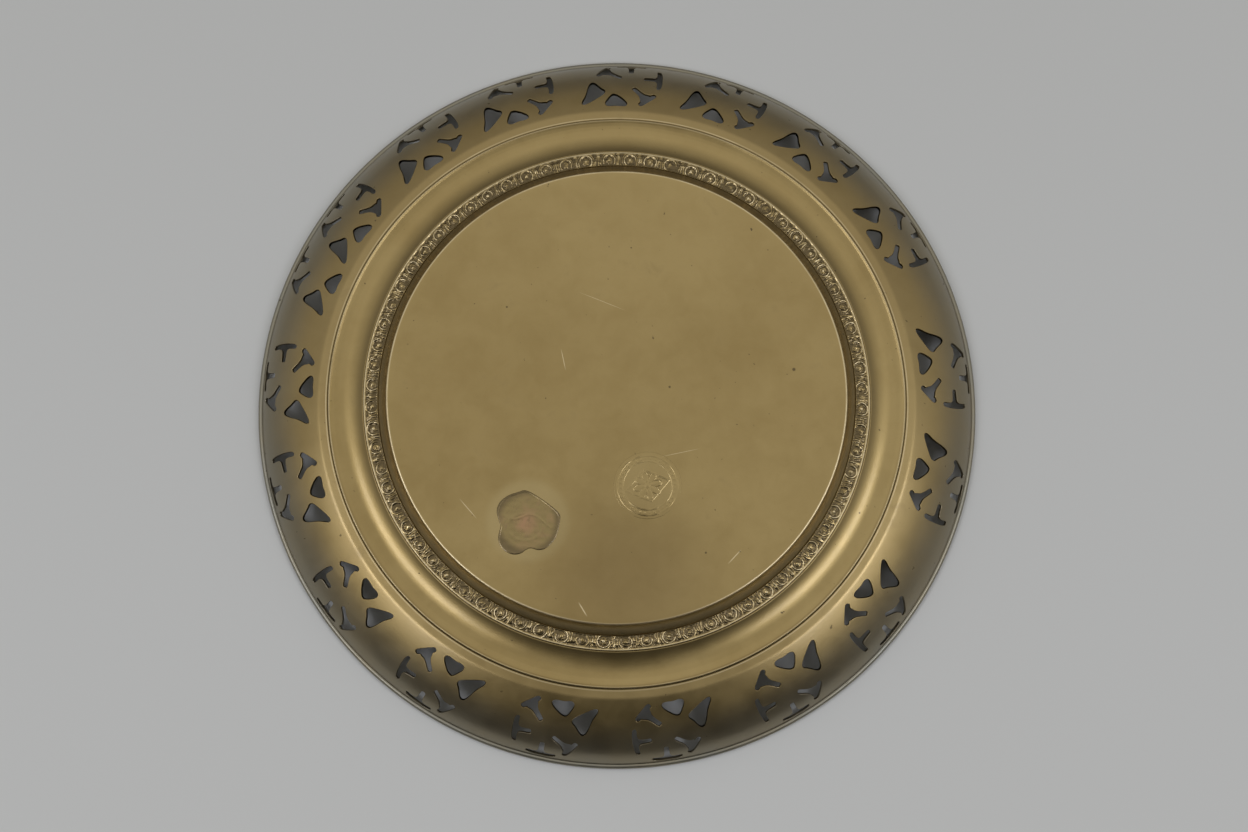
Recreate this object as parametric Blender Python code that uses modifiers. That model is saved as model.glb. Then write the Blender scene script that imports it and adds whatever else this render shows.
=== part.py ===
"""Paten plate with a pierced gallery rim, lying face down.

A spun dish, an ornamental band round the foot of its riser, a pierced rim that laps over the dish's lip, the
solder under that lap, and the wire that closes the rim's edge. The origin is at the centre of the footprint and
+Z points up, out of the foot. Lengths below are in millimetres, and the mesh functions turn them into metres.
"""
import math

import bmesh
import bpy
from mathutils import Matrix

MM = 0.001
MERGE_DISTANCE = 0.00001
SEGMENTS = 60                     # flats round each turned piece
SHEET = 1.2                       # wall of the dish and of the rim
GAP = 0.3                         # clearance between touching pieces

PLATE_RADIUS = 127.0
FOOT_HEIGHT = 27.3                # the foot's flat face above the table
FOOT_RADIUS = 79.5
FOOT_EDGE = 0.8                   # radius of the foot's rounded edge

WIRE_RADIUS = 1.1                 # the edge wire, which lies on the table
WIRE_SIDES = 8

BAND_INNER = (83.1, 22.9)         # top edge of the ornamental band: radius and height
BAND_OUTER = (87.5, 21.85)        # its lower edge
BAND_CROWN = 0.25                 # how far the band's face bulges
BAND_SHEET = 0.9
BAND_STEPS = 4

RISER_HANDLES = ((79.9, 25.0), (81.2, 23.6))
RISER_END = (82.45, 22.7)         # where the riser meets the seat that the band lies in
SEAT = ((82.2, 21.8), (86.95, 20.62), (87.6, 20.85))

COVE_INNER = (87.85, 21.4)        # the ledge beside the band, which curves down to a flat ring
COVE_OUTER = (95.2, 18.55)
COVE_POWER = 1.7                  # the height falls with this power of the distance left to the flat ring
COVE_STEPS = 5
LEDGE_LIP = ((97.3, 18.6), (99.0, 18.85), (100.0, 19.25))   # the ledge's outer edge turns up in a low bead
LEDGE_OUTER = (100.45, 18.95)     # end of the ledge, where the rim's flange begins
LEDGE_HEIGHT = 18.4
LIP_ROOT_HEIGHT = 16.88
LIP_OUTER = (102.9, 16.5)         # end of the dish's lip under the flange
WELL_LINE = ((91.3, 18.2), (88.6, 19.4), (86.9, 19.5), (81.9, 20.75), (79.6, 23.1), (78.6, 25.2), (77.4, 26.1),
             (0.0, 26.1))

SOLDER_TIP = (105.6, 15.4)        # the solder fillet's far corner, along the rim's wall
SOLDER_HEIGHTS = (16.3, 14.9)     # its top and bottom beside the lip

FLANGE_INNER = (100.85, 18.4)
SHOULDER = (103.8, 17.9)          # where the flange turns into the rim's wall
WALL_END = (125.4, 2.55)
WALL_START_SLOPE = 22.0           # degrees below level
WALL_END_SLOPE = 68.0
WALL_START_PULL = 10.0            # lengths of the wall curve's two handles
WALL_END_PULL = 7.0
WALL_STEPS = 8

CUTTER_DEPTH = 8.0                # a punch reaches this far, centred on the wall

# The medallions were punched one after another by hand, so the steps between them differ. Degrees,
# counter-clockwise seen from above, starting from the first medallion's heart.
FIRST_MEDALLION = 7.1
MEDALLION_STEPS = (25.7, 19.8, 18.9, 18.5, 19.1, 18.0, 19.1, 10.7, 20.5, 19.0, 21.4, 20.9, 21.4, 20.4, 21.9,
                   19.9, 24.8)
CROWDED_MEDALLION = 8             # this one had no room for its two left-hand punches

# Punch outlines, as (down the wall, counter-clockwise) about their own centres.
HEART_OUTLINE = ((2.7, 0.5), (2.1, 1.3), (-0.4, 3.4), (-1.6, 3.5), (-2.4, 2.4), (-2.1, 0.0), (-2.4, -2.4),
                 (-1.6, -3.5), (-0.4, -3.3), (2.1, -0.4))
LEAF_OUTLINE = ((5.0, -0.9), (5.0, 0.1), (2.6, 1.7), (-4.0, 3.9), (-4.7, 3.1), (-0.9, -2.4), (0.5, -3.5),
                (1.6, -3.0))

# Each punch in a medallion: name, distance down the wall from the shoulder, offset counter-clockwise from the
# heart, turn of the outline in degrees, and whether the crowded medallion leaves it out.
PUNCHES = (
    ("heart", 4.9, 0.0, 0.0, False),
    ("leaf", 8.9, 8.3, 0.0, False),
    ("long_tee", 25.6, -5.2, 180.0, False),
    ("long_tee", 16.9, -15.3, 92.0, True),
    ("short_tee", 21.3, 4.9, -125.0, False),
    ("short_tee", 5.7, -10.9, 46.0, True),
)
LONG_TEE = (10.4, 1.5, 5.4, 1.5)  # bar length and width, stem length and width
SHORT_TEE = (7.0, 2.0, 7.4, 1.7)

BRASS = (0.42, 0.32, 0.14, 1.0)
BRIGHT_BRASS = (0.56, 0.44, 0.22, 1.0)
DARK_BRASS = (0.30, 0.24, 0.12, 1.0)
SOLDER_GREY = (0.38, 0.37, 0.34, 1.0)


def clear_scene():
    for thing in list(bpy.data.objects):
        bpy.data.objects.remove(thing, do_unlink=True)


def new_collection(name):
    collection = bpy.data.collections.new(name)
    bpy.context.scene.collection.children.link(collection)
    return collection


def metal(name, colour, roughness):
    material = bpy.data.materials.new(name)
    material.use_nodes = True
    shader = material.node_tree.nodes["Principled BSDF"]
    shader.inputs["Base Color"].default_value = colour
    shader.inputs["Metallic"].default_value = 1.0
    shader.inputs["Roughness"].default_value = roughness
    return material


def bezier(start, start_handle, end_handle, end, steps):
    """Points on a cubic curve, both ends included."""
    points = []
    for step in range(steps + 1):
        t = step / steps
        u = 1.0 - t
        weights = (u * u * u, 3.0 * u * u * t, 3.0 * u * t * t, t * t * t)
        corners = (start, start_handle, end_handle, end)
        radius = sum(weight * corner[0] for weight, corner in zip(weights, corners))
        height = sum(weight * corner[1] for weight, corner in zip(weights, corners))
        points.append((radius, height))
    return points


def offset_inward(line, distance):
    """The line moved to the side that faces the table, square to its own run."""
    moved = []
    for index, point in enumerate(line):
        before = line[max(index - 1, 0)]
        after = line[min(index + 1, len(line) - 1)]
        run = math.hypot(after[0] - before[0], after[1] - before[1])
        across = (after[1] - before[1]) / run
        along = (after[0] - before[0]) / run
        moved.append((point[0] + across * distance, point[1] - along * distance))
    return moved


def turned_piece(name, profile, closed, collection, material):
    """A piece turned about Z. The profile runs outward over the top and back underneath."""
    mesh = bpy.data.meshes.new(name)
    shape = bmesh.new()
    verts = [shape.verts.new((radius * MM, 0.0, height * MM)) for radius, height in profile]
    for first, second in zip(verts, verts[1:]):
        shape.edges.new((first, second))
    if closed:
        shape.edges.new((verts[-1], verts[0]))
    shape.to_mesh(mesh)
    shape.free()
    piece = bpy.data.objects.new(name, mesh)
    collection.objects.link(piece)
    mesh.materials.append(material)
    screw = piece.modifiers.new("turn", "SCREW")
    screw.axis = "Z"
    screw.steps = SEGMENTS
    screw.render_steps = SEGMENTS
    screw.use_merge_vertices = True
    screw.merge_threshold = MERGE_DISTANCE
    screw.use_smooth_shade = True
    return piece


def wall_line():
    """The outer face of the rim's curved wall, from the shoulder down to the edge."""
    start_angle = math.radians(WALL_START_SLOPE)
    end_angle = math.radians(WALL_END_SLOPE)
    start_handle = (SHOULDER[0] + WALL_START_PULL * math.cos(start_angle),
                    SHOULDER[1] - WALL_START_PULL * math.sin(start_angle))
    end_handle = (WALL_END[0] - WALL_END_PULL * math.cos(end_angle),
                  WALL_END[1] + WALL_END_PULL * math.sin(end_angle))
    return bezier(SHOULDER, start_handle, end_handle, WALL_END, WALL_STEPS)


def place_on_wall(line, distance):
    """Radius, height and slope in radians at a distance down the wall from the shoulder."""
    left = distance
    for first, second in zip(line, line[1:]):
        run = math.hypot(second[0] - first[0], second[1] - first[1])
        if left <= run:
            break
        left -= run
    share = left / run
    radius = first[0] + share * (second[0] - first[0])
    height = first[1] + share * (second[1] - first[1])
    slope = math.atan2(first[1] - second[1], second[0] - first[0])
    return radius, height, slope


def base_dish(collection, material):
    """Foot disc, riser, seat of the band, ledge, and the stepped lip that carries the rim."""
    foot = [(0.0, FOOT_HEIGHT)]
    for degrees in (90, 60, 30, 0):
        angle = math.radians(degrees)
        foot.append((FOOT_RADIUS - FOOT_EDGE + FOOT_EDGE * math.cos(angle),
                     FOOT_HEIGHT - FOOT_EDGE + FOOT_EDGE * math.sin(angle)))
    riser = bezier(foot[-1], RISER_HANDLES[0], RISER_HANDLES[1], RISER_END, 3)[1:]
    drop = COVE_INNER[1] - COVE_OUTER[1]
    width = COVE_OUTER[0] - COVE_INNER[0]
    cove = []
    for step in range(COVE_STEPS + 1):
        share = step / COVE_STEPS
        cove.append((COVE_INNER[0] + share * width, COVE_OUTER[1] + drop * (1.0 - share) ** COVE_POWER))
    lip = list(LEDGE_LIP) + [LEDGE_OUTER, (LEDGE_OUTER[0], LIP_ROOT_HEIGHT), LIP_OUTER]
    outside = foot + riser + list(SEAT) + cove + lip
    step_inner = LEDGE_OUTER[0] - SHEET
    underside = [(LIP_OUTER[0], LIP_OUTER[1] - SHEET), (step_inner, LIP_ROOT_HEIGHT - SHEET),
                 (step_inner, LEDGE_HEIGHT - SHEET), (COVE_OUTER[0], COVE_OUTER[1] - SHEET)]
    profile = outside + underside + list(WELL_LINE)
    return turned_piece("base_dish", profile, False, collection, material)


def embossed_band(collection, material):
    """The strip under its relief: a slightly crowned face over a flat back."""
    run = math.hypot(BAND_OUTER[0] - BAND_INNER[0], BAND_INNER[1] - BAND_OUTER[1])
    out = ((BAND_INNER[1] - BAND_OUTER[1]) / run, (BAND_OUTER[0] - BAND_INNER[0]) / run)
    face = []
    for step in range(BAND_STEPS + 1):
        share = step / BAND_STEPS
        bulge = BAND_CROWN * math.sin(math.pi * share)
        face.append((BAND_INNER[0] + share * (BAND_OUTER[0] - BAND_INNER[0]) + out[0] * bulge,
                     BAND_INNER[1] + share * (BAND_OUTER[1] - BAND_INNER[1]) + out[1] * bulge))
    back = [(BAND_OUTER[0] - out[0] * BAND_SHEET, BAND_OUTER[1] - out[1] * BAND_SHEET),
            (BAND_INNER[0] - out[0] * BAND_SHEET, BAND_INNER[1] - out[1] * BAND_SHEET)]
    return turned_piece("embossed_band", face + back, True, collection, material)


def seam_solder(collection, material):
    """The fillet in the corner between the end of the dish's lip and the rim's wall."""
    inner = LIP_OUTER[0] + GAP
    section = [(inner, SOLDER_HEIGHTS[0]), SOLDER_TIP, (inner, SOLDER_HEIGHTS[1])]
    return turned_piece("seam_solder", section, True, collection, material)


def edge_wire(collection, material):
    bpy.ops.mesh.primitive_torus_add(
        major_segments=SEGMENTS, minor_segments=WIRE_SIDES, major_radius=(PLATE_RADIUS - WIRE_RADIUS) * MM,
        minor_radius=WIRE_RADIUS * MM, location=(0.0, 0.0, WIRE_RADIUS * MM))
    wire = bpy.context.object
    wire.name = "edge_wire"
    wire.data.name = "edge_wire"
    for holder in list(wire.users_collection):
        holder.objects.unlink(wire)
    collection.objects.link(wire)
    wire.data.materials.append(material)
    wire.data.shade_smooth()
    return wire


def tee_outline(bar_length, bar_width, stem_length, stem_width):
    """A bar across the origin with a stem running down the wall from it."""
    half_bar = bar_length / 2
    half_width = bar_width / 2
    half_stem = stem_width / 2
    reach = half_width + stem_length
    return ((-half_width, -half_bar), (half_width, -half_bar), (half_width, -half_stem), (reach, -half_stem),
            (reach, half_stem), (half_width, half_stem), (half_width, half_bar), (-half_width, half_bar))


def punch_mesh(name, outline):
    """A closed prism on the outline, made from a filled and extruded 2D curve."""
    curve = bpy.data.curves.new(name, "CURVE")
    curve.dimensions = "2D"
    curve.fill_mode = "BOTH"
    curve.extrude = CUTTER_DEPTH * MM / 2
    spline = curve.splines.new("POLY")
    spline.points.add(len(outline) - 1)
    for point, (down, across) in zip(spline.points, outline):
        point.co = (down * MM, across * MM, 0.0, 1.0)
    spline.use_cyclic_u = True
    holder = bpy.data.objects.new(name, curve)
    bpy.context.scene.collection.objects.link(holder)
    evaluated = holder.evaluated_get(bpy.context.evaluated_depsgraph_get())
    mesh = bpy.data.meshes.new_from_object(evaluated)
    bpy.data.objects.remove(holder, do_unlink=True)
    shape = bmesh.new()
    shape.from_mesh(mesh)
    bmesh.ops.remove_doubles(shape, verts=shape.verts, dist=MERGE_DISTANCE)
    bmesh.ops.recalc_face_normals(shape, faces=shape.faces)
    shape.to_mesh(mesh)
    shape.free()
    return mesh


def wall_frame(line, distance, across, azimuth):
    """Frame of a point on the wall: X down the wall, Y counter-clockwise, Z out of the wall."""
    radius, height, slope = place_on_wall(line, distance)
    angle = math.radians(azimuth) + across / radius
    down = (math.cos(angle) * math.cos(slope), math.sin(angle) * math.cos(slope), -math.sin(slope))
    round_way = (-math.sin(angle), math.cos(angle), 0.0)
    out = (math.cos(angle) * math.sin(slope), math.sin(angle) * math.sin(slope), math.cos(slope))
    place = (radius * math.cos(angle) * MM, radius * math.sin(angle) * MM, height * MM)
    rows = [(down[axis], round_way[axis], out[axis], place[axis]) for axis in range(3)]
    rows.append((0.0, 0.0, 0.0, 1.0))
    return Matrix(rows)


def medallion_azimuths():
    azimuth = FIRST_MEDALLION
    azimuths = [azimuth]
    for step in MEDALLION_STEPS:
        azimuth += step
        azimuths.append(azimuth)
    return azimuths


def add_punches(line, cutters):
    """One closed cutter for each opening of each medallion."""
    outlines = {"heart": HEART_OUTLINE, "leaf": LEAF_OUTLINE, "long_tee": tee_outline(*LONG_TEE),
                "short_tee": tee_outline(*SHORT_TEE)}
    meshes = {name: punch_mesh(name, outline) for name, outline in outlines.items()}
    for number, azimuth in enumerate(medallion_azimuths()):
        for name, distance, across, turn, needs_room in PUNCHES:
            if needs_room and number == CROWDED_MEDALLION:
                continue
            cutter = bpy.data.objects.new(f"punch_{name}", meshes[name])
            cutters.objects.link(cutter)
            turned = Matrix.Rotation(math.radians(turn), 4, "Z")
            cutter.matrix_world = wall_frame(line, distance, across, azimuth) @ turned
            cutter.display_type = "WIRE"
            cutter.hide_render = True


def pierced_rim(collection, cutters, material):
    """Flange and curved wall in one turned sheet, then pierced by the medallions."""
    wall = wall_line()
    outside = [FLANGE_INNER] + wall
    inside = offset_inward(outside, SHEET)
    rim = turned_piece("pierced_rim", outside + inside[::-1], True, collection, material)
    add_punches(wall, cutters)
    pierce = rim.modifiers.new("pierce", "BOOLEAN")
    pierce.operation = "DIFFERENCE"
    pierce.solver = "EXACT"
    pierce.operand_type = "COLLECTION"
    pierce.collection = cutters
    return rim


def main():
    clear_scene()
    parts = new_collection("paten_plate")
    cutters = new_collection("cutters")
    brass = metal("spun_brass", BRASS, 0.34)
    bright = metal("worn_bright_brass", BRIGHT_BRASS, 0.3)
    dark = metal("tarnished_brass", DARK_BRASS, 0.4)
    solder = metal("soft_solder", SOLDER_GREY, 0.55)
    base_dish(parts, brass)
    embossed_band(parts, bright)
    pierced_rim(parts, cutters, dark)
    seam_solder(parts, solder)
    edge_wire(parts, bright)


main()
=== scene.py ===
import math

import bpy
import numpy as np
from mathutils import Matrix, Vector
from mathutils.geometry import delaunay_2d_cdt


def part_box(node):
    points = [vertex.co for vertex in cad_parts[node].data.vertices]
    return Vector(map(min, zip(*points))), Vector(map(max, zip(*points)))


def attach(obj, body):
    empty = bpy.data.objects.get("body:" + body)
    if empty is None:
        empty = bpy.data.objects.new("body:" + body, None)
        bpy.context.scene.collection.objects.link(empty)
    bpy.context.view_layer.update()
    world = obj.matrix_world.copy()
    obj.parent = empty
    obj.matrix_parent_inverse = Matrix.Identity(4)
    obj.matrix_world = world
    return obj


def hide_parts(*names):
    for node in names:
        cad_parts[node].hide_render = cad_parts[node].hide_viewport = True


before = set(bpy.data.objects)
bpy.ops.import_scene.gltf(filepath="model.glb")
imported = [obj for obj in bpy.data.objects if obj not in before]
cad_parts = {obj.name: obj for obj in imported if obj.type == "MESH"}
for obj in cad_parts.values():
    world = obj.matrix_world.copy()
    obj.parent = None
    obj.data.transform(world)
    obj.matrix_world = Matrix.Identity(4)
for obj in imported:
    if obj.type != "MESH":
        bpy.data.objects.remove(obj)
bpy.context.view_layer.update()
mm = 0.001
fullTurn = 2.0 * math.pi
print("plate: frame loaded")


# mesh helpers

def addObject(name, data):
    item = bpy.data.objects.new(name, data)
    bpy.context.scene.collection.objects.link(item)
    return item


def makeMesh(name, points, faceBlocks, material):
    # points is n by 3 in metres; faceBlocks holds one index array per face size, a row to a face
    mesh = bpy.data.meshes.new(name)
    sizes = np.concatenate([np.full(len(block), block.shape[1]) for block in faceBlocks])
    corners = np.concatenate([block.ravel() for block in faceBlocks]).astype(np.int32)
    starts = np.concatenate(([0], np.cumsum(sizes)[:-1])).astype(np.int32)
    mesh.vertices.add(len(points))
    mesh.vertices.foreach_set("co", np.ascontiguousarray(points, np.float32).ravel())
    mesh.loops.add(len(corners))
    mesh.loops.foreach_set("vertex_index", corners)
    mesh.polygons.add(len(sizes))
    mesh.polygons.foreach_set("loop_start", starts)
    mesh.polygons.foreach_set("use_smooth", np.ones(len(sizes), bool))
    mesh.update(calc_edges=True)
    mesh.validate()
    mesh.materials.append(material)
    return addObject(name, mesh)


def settle(piece, slot, *nodes):
    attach(piece, "root")
    if nodes:
        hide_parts(*nodes)
    print("plate:", piece.name, len(piece.data.polygons), "faces")


def wrapFaces(rows, steps, closed):
    # quads between neighbouring rows of a grid whose columns run right round
    row = np.arange(rows if closed else rows - 1)[:, None]
    column = np.arange(steps)[None, :]
    nextRow = (row + 1) % rows
    nextColumn = (column + 1) % steps
    quads = np.stack([row * steps + column, nextRow * steps + column,
                      nextRow * steps + nextColumn, row * steps + nextColumn], axis=-1)
    return quads.reshape(-1, 4)


def poleFaces(ring, pole, atStart):
    # a fan of triangles from a pole on the axis to the ring beside it
    turned = np.roll(ring, -1)
    poles = np.full(len(ring), pole)
    order = (poles, ring, turned) if atStart else (ring, poles, turned)
    return np.stack(order, axis=-1)


def cappedFaces(rows, steps):
    # rows of a grid closed by the two poles that follow it in the list of points
    ring = np.arange(steps)
    return [wrapFaces(rows, steps, False), poleFaces(ring, rows * steps, True),
            poleFaces(ring + (rows - 1) * steps, rows * steps + 1, False)]


def stepsRound(steps):
    return np.arange(steps) / steps * fullTurn


def revolve(radius, angles, height):
    # points (r cos a, r sin a, z) of a grid, one row to a point
    return np.stack([radius * np.cos(angles), radius * np.sin(angles), height], axis=-1).reshape(-1, 3)


def lineNormals(line):
    # outward normals of a section that runs outward over the top and back underneath
    along = np.gradient(line, axis=0)
    along /= np.linalg.norm(along, axis=1)[:, None] + 1e-12
    return np.stack([-along[:, 1], along[:, 0]], axis=1)


def roundCorner(before, corner, after, radius, steps):
    # arc of the given radius tangent to both sides of a corner
    before, corner, after = (np.array(point[:2], float) for point in (before, corner, after))
    sideIn = (before - corner) / np.linalg.norm(before - corner)
    sideOut = (after - corner) / np.linalg.norm(after - corner)
    halfAngle = math.acos(np.clip(sideIn @ sideOut, -1, 1)) / 2
    reach = radius / math.tan(halfAngle)
    start, end = corner + sideIn * reach, corner + sideOut * reach
    t = np.linspace(0, 1, steps)[:, None]
    weight = math.sin(halfAngle)
    blend = (1 - t) ** 2 + 2 * weight * t * (1 - t) + t ** 2
    return ((1 - t) ** 2 * start + 2 * weight * t * (1 - t) * corner + t ** 2 * end) / blend


def roundedLine(corners, steps=7):
    # polyline of (radius, height, fillet) with its fillets turned into arcs
    line = [np.array([corners[0][:2]], float)]
    for before, corner, after in zip(corners, corners[1:], corners[2:]):
        if corner[2] > 0:
            line.append(roundCorner(before, corner, after, corner[2], steps))
        else:
            line.append(np.array([corner[:2]], float))
    line.append(np.array([corners[-1][:2]], float))
    return np.concatenate(line)


def fillLine(line, longest):
    # extra points so that no run of the line is longer than the given length
    pieces = []
    for start, end in zip(line, line[1:]):
        count = max(1, math.ceil(np.linalg.norm(end - start) / longest))
        pieces.append(start + (end - start) * np.arange(count)[:, None] / count)
    return np.concatenate(pieces + [line[-1:]])


def bezier(start, startHandle, endHandle, end, steps):
    t = np.linspace(0, 1, steps + 1)[:, None]
    corners = [np.array(point, float) for point in (start, startHandle, endHandle, end)]
    return ((1 - t) ** 3 * corners[0] + 3 * (1 - t) ** 2 * t * corners[1]
            + 3 * (1 - t) * t ** 2 * corners[2] + t ** 3 * corners[3])


def smoothWaves(x, y, seed, count, longest, shortest):
    # sum of plane waves with seeded directions and phases, between -1 and 1 or so
    rng = np.random.default_rng(seed)
    total = np.zeros(np.broadcast(x, y).shape)
    for wavelength in np.geomspace(longest, shortest, count):
        angle, phase = rng.uniform(0, fullTurn, 2)
        total += np.sin(fullTurn * (x * math.cos(angle) + y * math.sin(angle)) / wavelength + phase)
    return total / math.sqrt(count)


def wavesRound(angles, radius, *waves):
    return smoothWaves(radius * np.cos(angles), radius * np.sin(angles), *waves)


def ridge(distance, width):
    return np.exp(-(distance / width) ** 2)


def roundOutline(outline, passes):
    # corner cutting: each pass replaces a corner with points a quarter and three quarters along its sides
    points = np.array(outline, float)
    for _ in range(passes):
        after = np.roll(points, -1, axis=0)
        points = np.stack([0.75 * points + 0.25 * after, 0.25 * points + 0.75 * after], axis=1).reshape(-1, 2)
    return points


def spaceEvenly(loop, spacing, count=None):
    # the same closed outline with points at even distances
    closed = np.concatenate([loop, loop[:1]])
    runs = np.concatenate([[0], np.cumsum(np.linalg.norm(np.diff(closed, axis=0), axis=1))])
    count = count or max(16, round(runs[-1] / spacing))
    at = np.arange(count) / count * runs[-1]
    return np.stack([np.interp(at, runs, closed[:, axis]) for axis in (0, 1)], axis=1)


# materials

def newMaterial(name, values):
    material = bpy.data.materials.new(name)
    material.use_nodes = True
    shader = material.node_tree.nodes["Principled BSDF"]
    for socket, value in values.items():
        shader.inputs[socket].default_value = value
    return material, material.node_tree, shader


def addNode(tree, kind, **values):
    node = tree.nodes.new(kind)
    for name, value in values.items():
        setattr(node, name, value)
    return node


def link(tree, source, target):
    tree.links.new(source, target)


def math2(tree, operation, first, second=None, clamp=False):
    node = addNode(tree, "ShaderNodeMath", operation=operation, use_clamp=clamp)
    for socket, value in zip(node.inputs, (first, second)):
        if value is None:
            continue
        if isinstance(value, (int, float)):
            socket.default_value = value
        else:
            link(tree, value, socket)
    return node.outputs[0]


def times(tree, first, second):
    return math2(tree, "MULTIPLY", first, second)


def mapRange(tree, value, low, high, newLow=0.0, newHigh=1.0, smooth=False):
    node = addNode(tree, "ShaderNodeMapRange", clamp=True)
    node.interpolation_type = "SMOOTHSTEP" if smooth else "LINEAR"
    link(tree, value, node.inputs["Value"])
    for name, number in (("From Min", low), ("From Max", high), ("To Min", newLow), ("To Max", newHigh)):
        node.inputs[name].default_value = number
    return node.outputs["Result"]


def noise(tree, vector, scale, detail=3.0, roughness=0.55, distortion=0.0):
    node = addNode(tree, "ShaderNodeTexNoise")
    link(tree, vector, node.inputs["Vector"])
    values = {"Scale": scale, "Detail": detail, "Roughness": roughness, "Distortion": distortion}
    for name, value in values.items():
        node.inputs[name].default_value = value
    return node.outputs["Fac"]


def mixColour(tree, factor, first, second):
    node = addNode(tree, "ShaderNodeMix", data_type="RGBA", clamp_factor=True)
    for socket, value in ((node.inputs[0], factor), (node.inputs[6], first), (node.inputs[7], second)):
        if isinstance(value, (int, float)):
            socket.default_value = value
        elif isinstance(value, tuple):
            socket.default_value = (*value, 1.0)
        else:
            link(tree, value, socket)
    return node.outputs[2]


def addBump(tree, shader, height, strength, distance):
    bump = addNode(tree, "ShaderNodeBump")
    bump.inputs["Strength"].default_value = strength
    bump.inputs["Distance"].default_value = distance
    link(tree, height, bump.inputs["Height"])
    link(tree, bump.outputs["Normal"], shader.inputs["Normal"])


def objectCoords(tree):
    return addNode(tree, "ShaderNodeTexCoord").outputs["Object"]


def radiusAt(tree, coords):
    # distance from the plate's axis and height above its bottom, in metres
    split = addNode(tree, "ShaderNodeSeparateXYZ")
    link(tree, coords, split.inputs[0])
    squared = math2(tree, "ADD", times(tree, split.outputs[0], split.outputs[0]),
                    times(tree, split.outputs[1], split.outputs[1]))
    return math2(tree, "SQRT", squared), split.outputs[2]


def nearMask(tree, coords, place, inner, outer):
    # 1 within the inner distance of a place given in millimetres, falling to 0 at the outer one
    node = addNode(tree, "ShaderNodeVectorMath", operation="DISTANCE")
    link(tree, coords, node.inputs[0])
    node.inputs[1].default_value = (place[0] * mm, place[1] * mm, place[2] * mm)
    return mapRange(tree, node.outputs["Value"], inner * mm, outer * mm, 1.0, 0.0, smooth=True)


def scratchMask(tree, coords, place, turn, length, width):
    # 1 along a short line through a place, at an angle in degrees
    moved = addNode(tree, "ShaderNodeVectorMath", operation="SUBTRACT")
    link(tree, coords, moved.inputs[0])
    moved.inputs[1].default_value = (place[0] * mm, place[1] * mm, 0.0)
    turned = addNode(tree, "ShaderNodeVectorRotate", rotation_type="Z_AXIS")
    link(tree, moved.outputs[0], turned.inputs["Vector"])
    turned.inputs["Angle"].default_value = -math.radians(turn)
    split = addNode(tree, "ShaderNodeSeparateXYZ")
    link(tree, turned.outputs[0], split.inputs[0])
    alongLine, offLine = (math2(tree, "ABSOLUTE", split.outputs[axis]) for axis in (0, 1))
    return times(tree, mapRange(tree, alongLine, length * 0.2 * mm, length * 0.5 * mm, 1.0, 0.0),
                 mapRange(tree, offLine, width * 0.3 * mm, width * mm, 1.0, 0.0, smooth=True))


def ringMask(tree, radius, centre, width):
    # 1 on a circle of the given radius, falling to 0 at the given distance from it
    gap = math2(tree, "ABSOLUTE", math2(tree, "SUBTRACT", radius, centre))
    return mapRange(tree, gap, 0.0, width, 1.0, 0.0, smooth=True)


def paintRings(tree, colour, rings, radius, mottle, shares, paint):
    # circles of another colour, uneven along their length: the two shares are for low and high mottle
    for centre, width, strength in rings:
        uneven = mapRange(tree, mottle, 0.3, 0.65, shares[0] * strength, shares[1] * strength)
        ring = times(tree, ringMask(tree, radius, centre, width), uneven)
        colour = mixColour(tree, ring, colour, paint)
    return colour


brassLook = {
    "light": (0.415, 0.300, 0.116),      # rubbed metal
    "middle": (0.345, 0.242, 0.086),
    "dark": (0.215, 0.145, 0.052),       # brown tarnish
    "cool": (0.275, 0.264, 0.212),       # greenish grey film
    "grimeAndShade": (0.055, 0.038, 0.018),
    "pale": (0.47, 0.36, 0.16),
    "bright": (0.85, 0.70, 0.42),
}
brassFinish = {
    "shader": {"Metallic": 1.0, "Coat Weight": 0.45, "Coat Roughness": 0.2},
    # texture scales per metre
    "clouds": 16.0, "mottle": 95.0, "grain": 1500.0, "specks": 520.0, "filmClouds": 40.0, "turning": 2600.0,
    "filmStart": 0.109, "filmFull": 0.124,      # radii in metres between which the grey-green film sets in
    "bumpDistance": 0.0004,
}


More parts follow.
